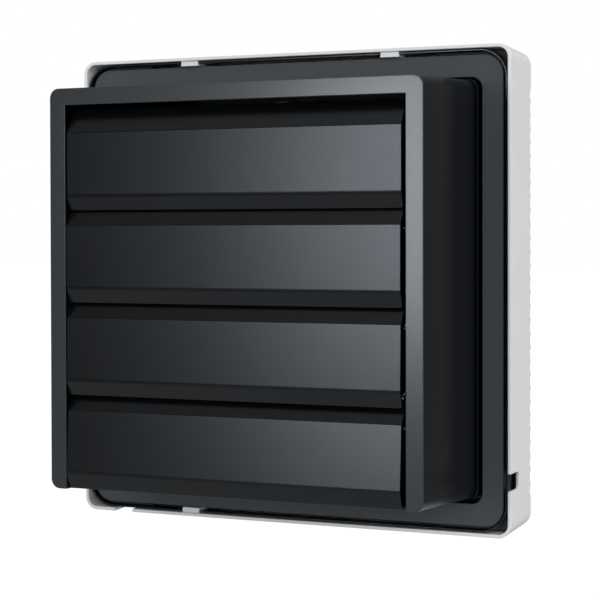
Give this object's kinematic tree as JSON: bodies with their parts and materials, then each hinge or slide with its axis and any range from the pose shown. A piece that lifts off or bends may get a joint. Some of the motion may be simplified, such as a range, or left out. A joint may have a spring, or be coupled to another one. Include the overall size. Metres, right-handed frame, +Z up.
{
  "type": "window exhaust fan",
  "caption": "Square window exhaust fan: black louvre box with gravity flaps, mounting flange, motor and impeller inside, slatted white room-side panel.",
  "frame": {"origin": "centre of the mounting flange's outdoor face, on the fan's axis", "axes": "+Y points outdoors along the fan's axis, +Z is up, and +X is to the left for someone outdoors facing the louvres"},
  "size_m": [0.3, 0.128, 0.3],
  "materials": {
    "black_plastic": "semi-gloss charcoal black moulding",
    "white_plastic": "satin white moulding",
    "component_plastic": "matt off-white moulding",
    "cream_plastic": "matt cream moulding",
    "zinc_plate": "zinc-plated pressed steel",
    "zinc_screws": "zinc-plated",
    "bracket_steel": "plated pressed steel",
    "shaft_steel": "ground",
    "laminations": "stacked steel sheet",
    "bronze": "sintered, oiled",
    "black_rubber": "moulded",
    "lead_sleeve": "soft sleeve"
  },
  "bodies": {
    "casing": {"louvre_box": "black_plastic", "housing": "black_plastic", "orifice_plate": "black_plastic", "motor_bracket": "bracket_steel", "motor_front_bell": "zinc_plate", "motor_rear_bell": "zinc_plate", "motor_can": "zinc_plate", "stator": "laminations", "front_bearing": "bronze", "rear_bearing": "bronze", "motor_screw_1": "zinc_screws", "motor_screw_2": "zinc_screws", "motor_screw_3": "zinc_screws", "motor_screw_4": "zinc_screws", "bracket_screw_1": "zinc_screws", "bracket_screw_2": "zinc_screws", "bracket_screw_3": "zinc_screws", "bracket_screw_4": "zinc_screws", "box_screw_1": "zinc_screws", "box_screw_2": "zinc_screws", "box_screw_3": "zinc_screws", "box_screw_4": "zinc_screws", "plate_screw_1": "zinc_screws", "plate_screw_2": "zinc_screws", "plate_screw_3": "zinc_screws", "plate_screw_4": "zinc_screws", "terminal_box": "cream_plastic", "terminal_cover": "cream_plastic", "terminal_cover_screw": "zinc_screws", "terminal_block": "component_plastic", "cable_grommet": "black_rubber", "capacitor": "component_plastic", "capacitor_screw": "zinc_screws", "motor_lead": "lead_sleeve"},
    "fan_wheel": {"impeller": "black_plastic", "impeller_nut": "black_plastic", "motor_shaft": "shaft_steel", "rotor": "laminations"},
    "flap_1": {"louvre_flap_1": "black_plastic"},
    "flap_2": {"louvre_flap_2": "black_plastic"},
    "flap_3": {"louvre_flap_3": "black_plastic"},
    "flap_4": {"louvre_flap_4": "black_plastic"},
    "panel": {"front_panel": "white_plastic"}
  },
  "joints": [
    {"name": "fan_spin", "type": "hinge", "parent": "casing", "child": "fan_wheel", "pos_m": [0, 0, 0], "axis": [0, 1, 0], "continuous": true},
    {"name": "flap_1_swing", "type": "hinge", "parent": "casing", "child": "flap_1", "pos_m": [0, 0.0793, 0.09585], "axis": [1, 0, 0], "range_deg": [0, 80]},
    {"name": "flap_2_swing", "type": "hinge", "parent": "casing", "child": "flap_2", "pos_m": [0, 0.0793, 0.03825], "axis": [1, 0, 0], "range_deg": [0, 80]},
    {"name": "flap_3_swing", "type": "hinge", "parent": "casing", "child": "flap_3", "pos_m": [0, 0.0793, -0.01935], "axis": [1, 0, 0], "range_deg": [0, 80]},
    {"name": "flap_4_swing", "type": "hinge", "parent": "casing", "child": "flap_4", "pos_m": [0, 0.0793, -0.07695], "axis": [1, 0, 0], "range_deg": [0, 80]},
    {"name": "panel_pull", "type": "slide", "parent": "casing", "child": "panel", "axis": [0, -1, 0], "range_m": [0, 0.1]}
  ]
}
